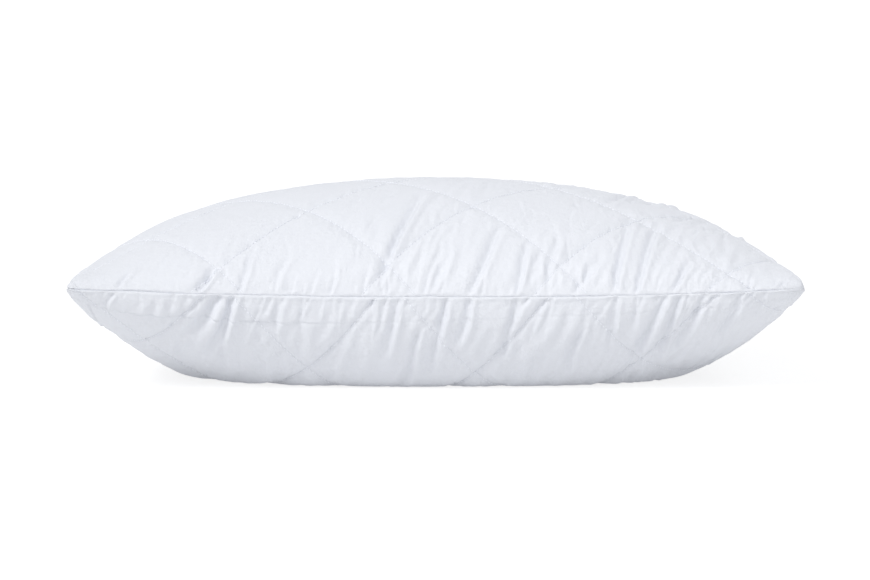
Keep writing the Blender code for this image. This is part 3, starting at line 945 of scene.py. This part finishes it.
class Surface:
    """One Principled material, with the values that are the same all over it."""

    def __init__(self, name, uniform):
        self.material = bpy.data.materials.new(name)
        self.material.use_nodes = True
        self.tree = self.material.node_tree
        self.shader = self.tree.nodes["Principled BSDF"]
        for socket, value in uniform.items():
            self.shader.inputs[socket].default_value = value

    def node(self, kind, output, inputs={}, **settings):
        return make_node(self.tree, kind, inputs, **settings).outputs[output]

    def cloth_place(self):
        """The place on the flat cloth, whole and as across and along."""
        place = self.node("UVMap", "UV", uv_map="cloth")
        return place, self.node("SeparateXYZ", "X", {0: place}), self.node("SeparateXYZ", "Y", {0: place})

    def solid_place(self):
        return self.node("TexCoord", "Object")

    def sums(self, operation, first, second=0.0):
        return self.node("Math", 0, {0: first, 1: second}, operation=operation)

    def product(self, first, second):
        return self.sums("MULTIPLY", first, second)

    def weighted(self, first, first_weight, second, second_weight):
        return self.sums("ADD", self.product(first, first_weight), self.product(second, second_weight))

    def stretched(self, place, scale, turn=(0, 0, 0)):
        return self.node("Mapping", "Vector", {"Vector": place, "Scale": scale, "Rotation": turn})

    def noise(self, place, scale, detail, roughness=0.5):
        inputs = {"Vector": place, "Scale": scale, "Detail": detail, "Roughness": roughness}
        return self.node("TexNoise", "Fac", inputs)

    def colours(self, low, high, share):
        return self.node("Mix", "Result", {"A": low, "B": high, "Factor": share}, data_type="RGBA")

    def bump(self, height, distance, strength, under=None):
        inputs = {"Height": height, "Distance": distance, "Strength": strength}
        if under is not None:
            inputs["Normal"] = under
        return self.node("Bump", "Normal", inputs)

    def finished(self, colour, normal):
        """Links the colour and the normal, and returns the material."""
        self.tree.links.new(colour, self.shader.inputs["Base Color"])
        self.tree.links.new(normal, self.shader.inputs["Normal"])
        return self.material


def stitch_dimples(surface, across, along, crossing):
    """How close each place is to a quilting line, from 0 to 1."""
    sums = surface.sums
    product = surface.product
    total = 0.0
    for slope in (QUILT_SLOPE, -QUILT_SLOPE):
        run = product(sums("SUBTRACT", across, crossing[0]), slope)
        phase = sums("DIVIDE", sums("SUBTRACT", sums("SUBTRACT", along, crossing[1]), run), DIAMOND[1])
        away = sums("ABSOLUTE", sums("SUBTRACT", phase, sums("ROUND", phase)))
        away = product(away, QUILT_SPACING / DIMPLE_REACH)
        total = sums("MAXIMUM", total, sums("EXPONENT", product(product(away, away), -1.0)))
    return total


def cotton_material(side):
    """Fine woven cotton: threads, crinkles, and a drawn-in line at each row of stitches, dented by a bump and
    darkened with painted shade.
    """
    surface = Surface(side.name + "_cotton_percale", {
        "Roughness": 0.62,
        "Sheen Weight": 0.12,
        "Sheen Roughness": 0.4,
        "Specular IOR Level": 0.35,
    })
    sums = surface.sums
    product = surface.product
    place, across, along = surface.cloth_place()
    yarns = [sums("SINE", product(part, math.pi / YARN_SPACING)) for part in (across, along)]
    threads = surface.noise(surface.stretched(place, (60.0, 900.0, 1.0)), 1.0, 2.0)
    cloud = surface.noise(place, 16.0, 4.0)
    dimples = stitch_dimples(surface, across, along, side.crossing)
    colour = surface.colours(*COTTON_COLOURS, surface.weighted(cloud, 0.7, threads, 0.3))
    # painted shade: the cotton is greyed a little along each row of stitches, where the dents would fall into
    # shade
    colour = surface.colours(colour, STITCH_LINE_SHADE_COLOUR, product(dimples, 0.05))

    patches = product(sums("SUBTRACT", cloud, 0.32), 2.4)
    leaning = surface.stretched(place, (260.0, 70.0, 1.0), (0, 0, math.pi / 2 - side.lean))
    creases = product(surface.noise(leaning, 1.0, 2.0), patches)
    crinkle = product(surface.noise(place, 210.0, 3.0, 0.6), sums("ADD", patches, 0.4))
    normal = surface.bump(product(dimples, -1.0), 0.0005, 0.4)
    normal = surface.bump(creases, 0.0011, 0.65, normal)
    normal = surface.bump(crinkle, 0.0014, 0.8, normal)
    normal = surface.bump(surface.weighted(product(*yarns), 1.0, threads, 1.5), 0.00010, 0.5, normal)
    return surface.finished(colour, normal)


def thread_material():
    """Spun polyester: a twisted ply as bump and a slight satin."""
    surface = Surface("white_sewing_thread", {"Roughness": 0.45, "Sheen Weight": 0.1})
    place = surface.solid_place()
    wave = {"Vector": place, "Scale": 900.0, "Distortion": 0.6}
    twist = surface.node("TexWave", "Fac", wave, bands_direction="DIAGONAL")
    colour = surface.colours(*THREAD_COLOURS, surface.noise(place, 500.0, 2.0))
    return surface.finished(colour, surface.bump(twist, 0.00008, 0.6))


def fibre_material():
    """Fluffy polyester fibre: matted strands in every direction, and soft lumps."""
    surface = Surface("fluffy_fibre", {"Roughness": 0.95, "Sheen Weight": 0.35})
    place = surface.solid_place()
    matted = 0.0
    for turn in (0.4, 1.5, 2.6):
        drawn = surface.stretched(place, (1400.0, 90.0, 1400.0), (turn, 0.5 * turn, turn))
        matted = surface.sums("MAXIMUM", matted, surface.noise(drawn, 1.0, 3.0, 0.6))
    lumps = surface.noise(place, 45.0, 5.0, 0.6)
    colour = surface.colours(*FIBRE_COLOURS, surface.weighted(matted, 0.7, lumps, 0.3))
    return surface.finished(colour, surface.bump(matted, 0.0004, 0.7, surface.bump(lumps, 0.003, 0.6)))


def backing_material():
    """Spunbonded cloth: small welded dots in rows over a tangle of filaments."""
    surface = Surface("spunbonded_cloth", {"Roughness": 0.7})
    place = surface.solid_place()
    welds = {"Vector": place, "Scale": 620.0, "Randomness": 0.15}
    dots = surface.node("TexVoronoi", "Distance", welds)
    filaments = surface.noise(place, 1500.0, 4.0, 0.7)
    cloud = surface.noise(place, 60.0, 3.0)
    colour = surface.colours(*BACKING_COLOURS, surface.weighted(filaments, 0.6, cloud, 0.4))
    return surface.finished(colour, surface.bump(filaments, 0.0001, 0.6, surface.bump(dots, 0.0003, 0.6)))


def satin_material():
    """Satin label tape: long floats across it, and a ribbed edge and a fine line along both sides."""
    surface = Surface("satin_label_tape", {"Roughness": 0.38, "Sheen Weight": 0.2})
    sums = surface.sums
    product = surface.product
    place, across, along = surface.cloth_place()
    weave = surface.noise(surface.stretched(place, (500.0, 5200.0, 1.0)), 1.0, 2.0)
    aside = sums("ABSOLUTE", across)
    selvedge = sums("GREATER_THAN", aside, LABEL_WIDTH / 2 - 0.0022)
    line = sums("LESS_THAN", sums("ABSOLUTE", sums("SUBTRACT", aside, LABEL_WIDTH / 2 - 0.0032)), 0.00025)
    colour = surface.colours(*SATIN_COLOURS, surface.weighted(weave, 0.8, selvedge, -0.4))
    colour = surface.colours(colour, SATIN_LINE_COLOUR, product(line, 0.7))
    ribs = product(sums("SINE", product(along, math.pi / SELVEDGE_RIB)), selvedge)
    return surface.finished(colour, surface.bump(weave, 0.00006, 0.6, surface.bump(ribs, 0.00008, 0.6)))


# ------- stage, light and camera
def seen_as(tree, share, light, seen, output):
    """Sends out the light, mixed with a share of something that only the camera sees."""
    camera_ray = make_node(tree, "LightPath", {}).outputs["Is Camera Ray"]
    share = make_node(tree, "Math", {0: camera_ray, 1: share}, operation="MULTIPLY").outputs[0]
    mixed = make_node(tree, "MixShader", {0: share, 1: light, 2: seen}).outputs[0]
    tree.links.new(mixed, tree.nodes[output].inputs["Surface"])


def white_stage():
    """A round of pale paper, partly seen as even white, so that the shadow on it is faint."""
    mesh = bpy.data.meshes.new("floor")
    turns = [math.tau * step / 64 for step in range(64)]
    rim = [(FLOOR_RADIUS * math.cos(turn), FLOOR_RADIUS * math.sin(turn), -FLOOR_GAP) for turn in turns]
    mesh.from_pydata(rim, [], [list(range(64))])
    paper = Surface("floor_paper", {
        "Base Color": (0.765, 0.765, 0.765, 1),
        "Roughness": 0.9,
        "Emission Color": (1, 1, 1, 1),
        "Emission Strength": 0.205,
    })
    white = paper.node("Emission", 0, {"Strength": 1.15})
    seen_as(paper.tree, 0.60, paper.shader.outputs[0], white, "Material Output")
    mesh.materials.append(paper.material)
    new_object("floor", mesh)


def world_light():
    """Even light from all round, with plain white where the camera looks past the floor."""
    world = bpy.data.worlds.new("studio")
    bpy.context.scene.world = world
    world.use_nodes = True
    tree = world.node_tree
    even = tree.nodes["Background"]
    even.inputs["Color"].default_value = (0.97, 0.98, 1.0, 1)
    even.inputs["Strength"].default_value = 0.74
    seen = make_node(tree, "Background", {"Color": (1, 1, 1, 1), "Strength": 1.1}).outputs[0]
    seen_as(tree, 1.0, even.outputs[0], seen, "World Output")


def sun_light(name, energy, softness, tilt, turn, colour=(1, 1, 1)):
    """A soft sun, with its angles in degrees."""
    sun = bpy.data.lights.new(name, "SUN")
    sun.energy = energy
    sun.angle = math.radians(softness)
    sun.color = colour
    new_object(name, sun).rotation_euler = (math.radians(tilt), 0, math.radians(turn))


def camera():
    made = bpy.data.cameras.new("camera")
    made.sensor_width = 36
    made.lens = 95.2
    made.shift_x = -0.001
    made.shift_y = -0.0075
    tilt = math.radians(5)
    distance = 2.3
    obj = new_object("camera", made)
    obj.location = np.array([0.0, 0.0, 0.085]) + distance * np.array([0, -math.cos(tilt), math.sin(tilt)])
    obj.rotation_euler = (math.pi / 2 - tilt, 0, 0)
    bpy.context.scene.camera = obj


# ------- build
def stand_in(made, node):
    """Puts a piece that rides on the pillow in place of its CAD node."""
    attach(made, "pillow")
    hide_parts(node)
    return made


camera()
white_stage()
world_light()
sun_light("key", 1.42, 18, 47, -37, (1.0, 0.995, 0.98))
sun_light("back", 0.20, 25, 52, 152)
bpy.context.scene.view_settings.view_transform = "Standard"

thread = thread_material()
fibre = fibre_material()
spunbonded = backing_material()
surfaces = {side.name: finished_points(side, creased_panel(side)) for side in (TOP, BOTTOM)}
edge = (surfaces["top"][RING] + surfaces["bottom"][RING]) / 2
for side in (TOP, BOTTOM):
    points = surfaces[side.name]
    points[RING] = edge
    cover = stand_in(cover_object(side, points, cotton_material(side)), side.name + "_cover")
    wadding = stand_in(wadding_object(side, points, fibre), side.name + "_wadding")
    backing = stand_in(backing_object(side, points, spunbonded), side.name + "_backing")
    for line_name, start, end in quilt_lines(side):
        run = stitch_run(side, points, start, end)
        stitches = stitches_object(side.name + "_quilting_stitches_" + line_name, run, STITCH_RADIUS, thread)
        stand_in(stitches, side.name + "_quilting_thread_" + line_name)

filling = stand_in(fill_object(surfaces, fibre), "fibre_fill")

sewn = drawn_in(edge, SEAM_STITCH_INSET, 0.0)
corner = ACROSS.shape[1]
other_sides = np.concatenate([sewn[corner - 1:], sewn[:1]])
for name, line in (("closing_seam", sewn[:corner]), ("side_seam", other_sides)):
    stitches = stitches_object(name + "_stitches", seam_stitch_run(line), SEAM_STITCH_RADIUS, thread)
    stand_in(stitches, name + "_thread")

tape, tape_length = label_object(surfaces["bottom"], satin_material())
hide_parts("care_label")
